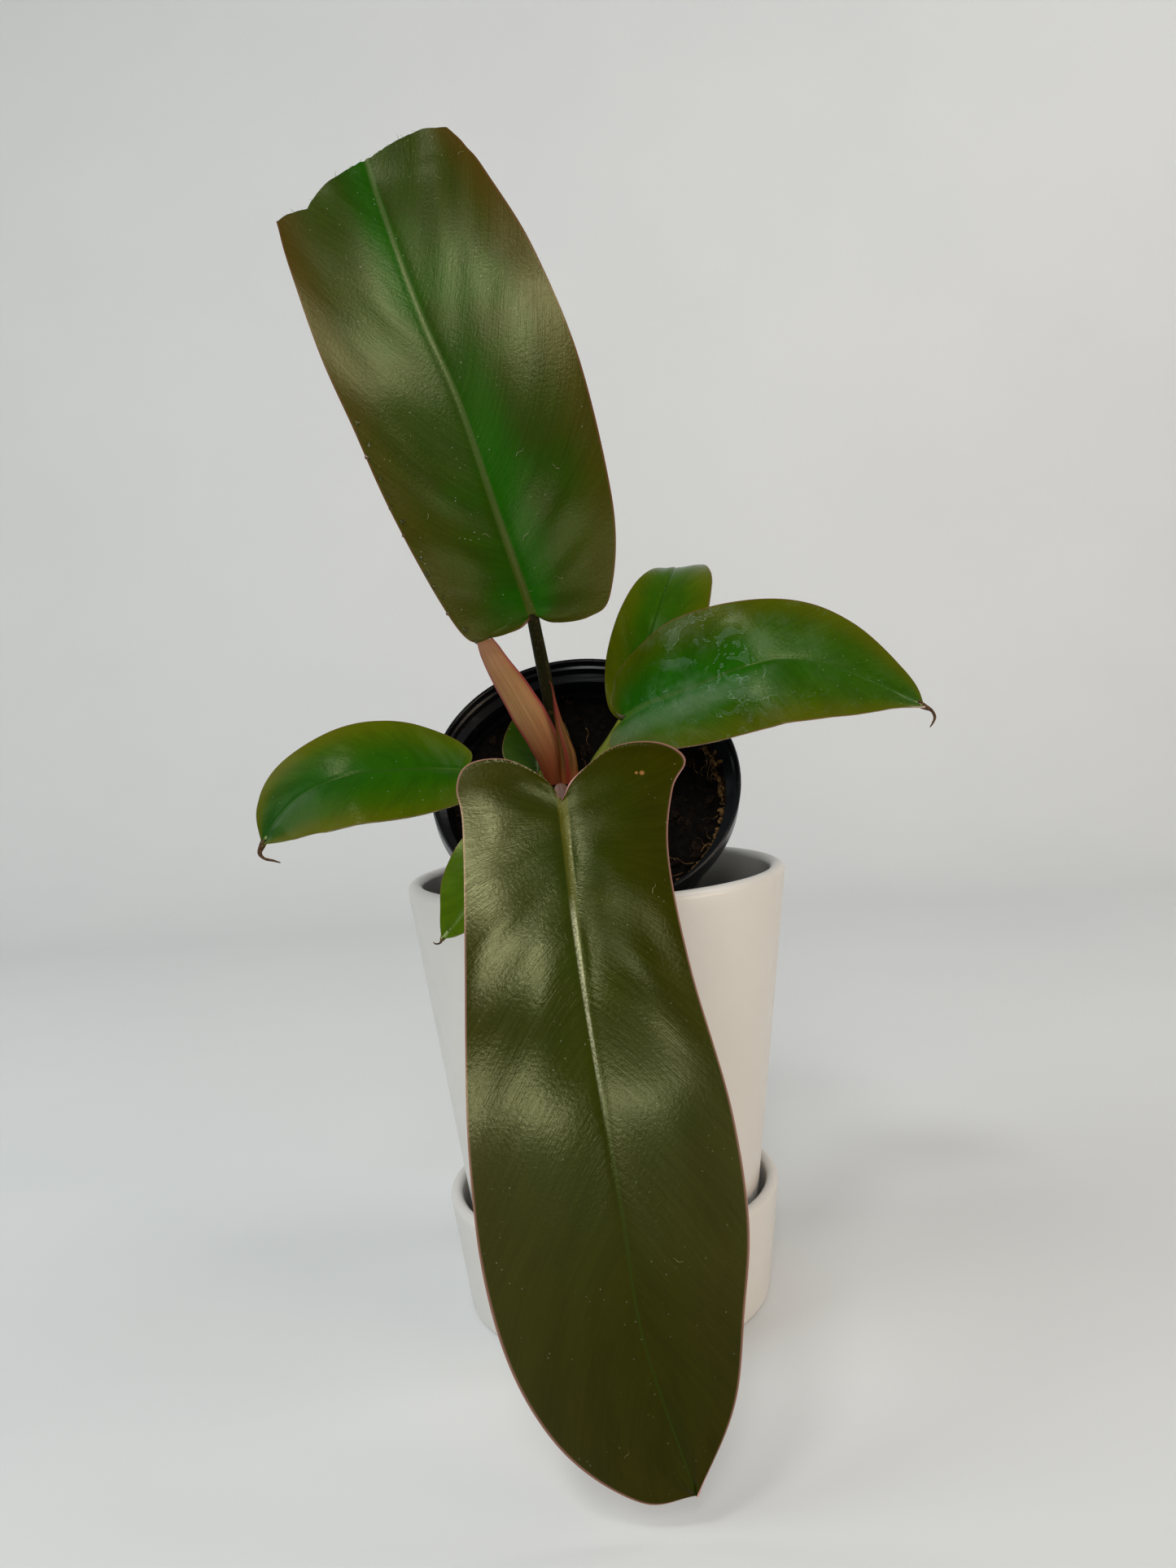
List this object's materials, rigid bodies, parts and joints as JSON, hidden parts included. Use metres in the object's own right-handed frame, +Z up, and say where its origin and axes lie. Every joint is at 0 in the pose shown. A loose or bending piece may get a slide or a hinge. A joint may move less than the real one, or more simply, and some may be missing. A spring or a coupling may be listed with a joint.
{
  "type": "potted philodendron",
  "caption": "Red-stemmed philodendron with long glossy leaves, leaning out of a tilted black nursery pot set in a tapered white ceramic pot on its saucer.",
  "frame": {"origin": "the middle of the saucer's flat base, on the surface that the plant stands on", "axes": "+Z up, -Y towards the side that the nursery pot and the long front leaf lean to, +X to the right as seen from that side"},
  "size_m": [0.2199, 0.2126, 0.4103],
  "materials": {
    "white_ceramic": "satin warm-white glaze",
    "black_plastic": "thin glossy black plastic",
    "potting_mix": "moist dark bark and peat",
    "stem": "ringed brown-green stem",
    "upright_leaf": "waxy green leaf with olive sides",
    "front_leaf": "glossy dark olive leaf with a red edge",
    "side_leaf": "satin bright green leaf with olive edges",
    "back_leaf": "satin olive-green leaf",
    "young_leaf": "satin fresh green leaf",
    "dark_stalk": "dark green speckled stalk",
    "red_stalk": "reddish stalk",
    "green_stalk": "yellow-green stalk",
    "pink_sheath": "salmon-pink papery sheath",
    "red_shoot": "crimson rolled shoot"
  },
  "bodies": {
    "root": {"saucer": "white_ceramic", "ceramic_pot": "white_ceramic", "nursery_pot": "black_plastic", "potting_mix": "potting_mix", "stem": "stem", "upright_leaf": "upright_leaf", "upright_stalk": "dark_stalk", "front_leaf": "front_leaf", "front_stalk": "red_stalk", "left_leaf": "side_leaf", "left_stalk": "green_stalk", "right_leaf": "side_leaf", "right_stalk": "green_stalk", "back_leaf": "back_leaf", "back_stalk": "green_stalk", "small_leaf": "young_leaf", "small_stalk": "green_stalk", "inner_leaf": "young_leaf", "inner_stalk": "green_stalk", "pink_sheath": "pink_sheath", "red_shoot": "red_shoot"}
  },
  "joints": []
}
